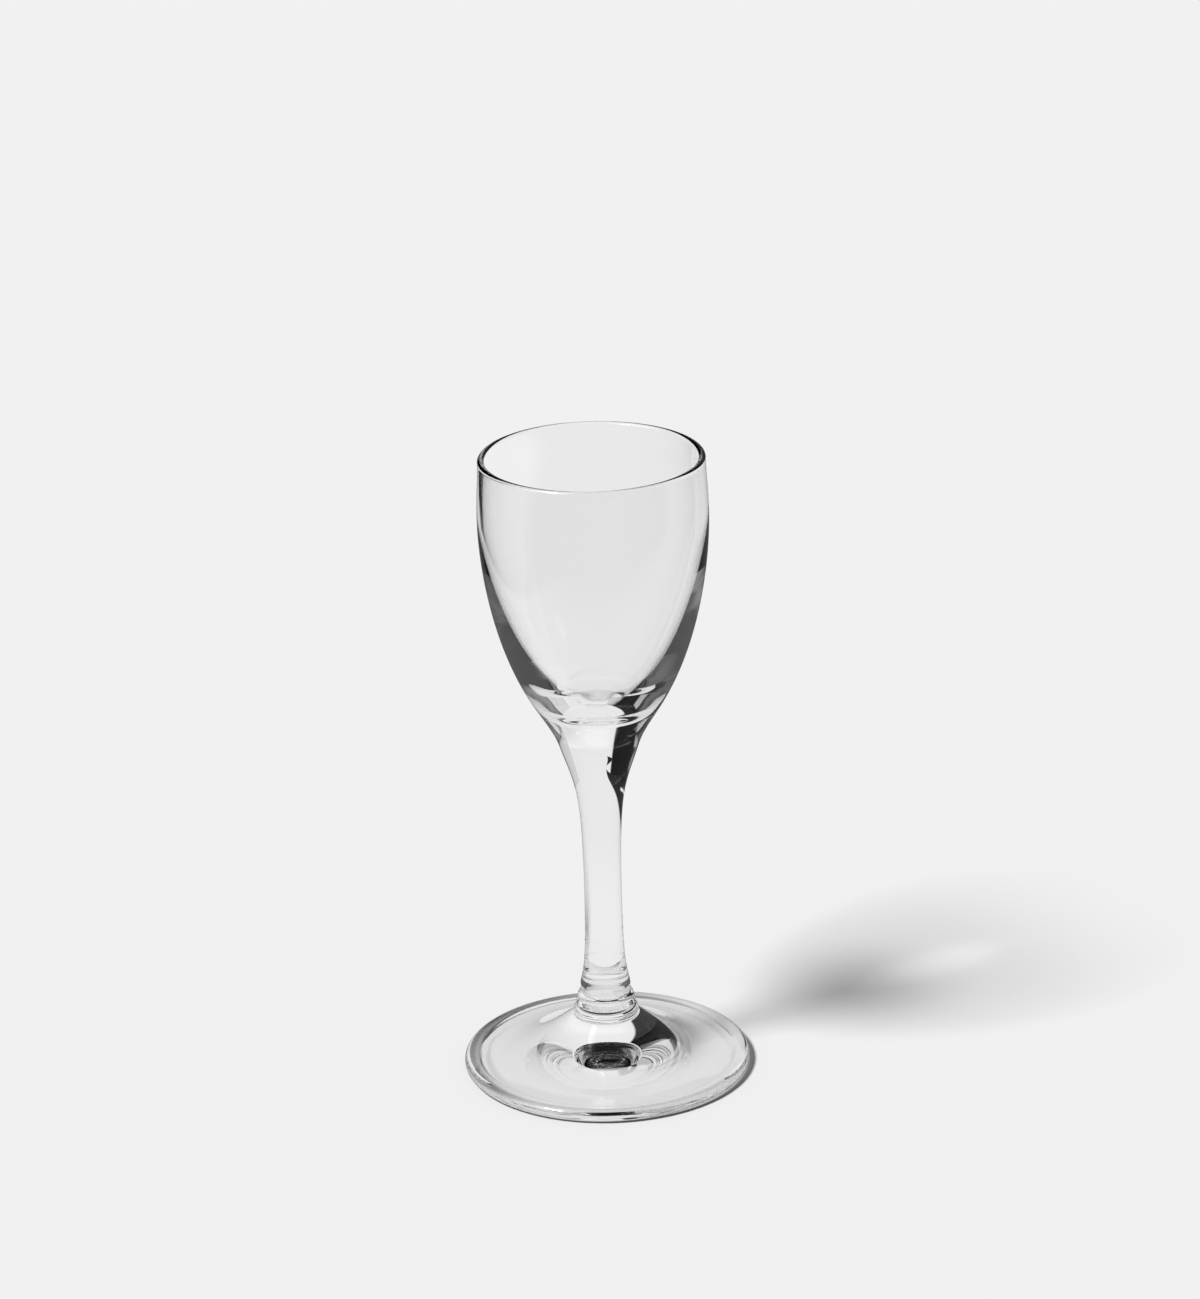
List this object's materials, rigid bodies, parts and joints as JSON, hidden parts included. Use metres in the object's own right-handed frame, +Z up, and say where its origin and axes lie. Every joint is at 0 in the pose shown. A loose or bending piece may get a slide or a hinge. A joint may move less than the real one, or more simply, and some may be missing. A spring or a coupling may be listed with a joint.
{
  "type": "cordial glass",
  "caption": "Small clear stemmed cordial glass: a tall egg-shaped bowl with a rounded lip, a waisted stem and a domed round foot.",
  "frame": {"origin": "centre of the foot's underside, in the plane that the glass stands on", "axes": "+Z up along the axis of the glass; it is round, so X and Y are free, and -Y faces the picture's camera"},
  "size_m": [0.0566, 0.0566, 0.127],
  "materials": {
    "clear_glass": "polished"
  },
  "bodies": {
    "root": {"foot": "clear_glass", "stem": "clear_glass", "bowl": "clear_glass"}
  },
  "joints": []
}
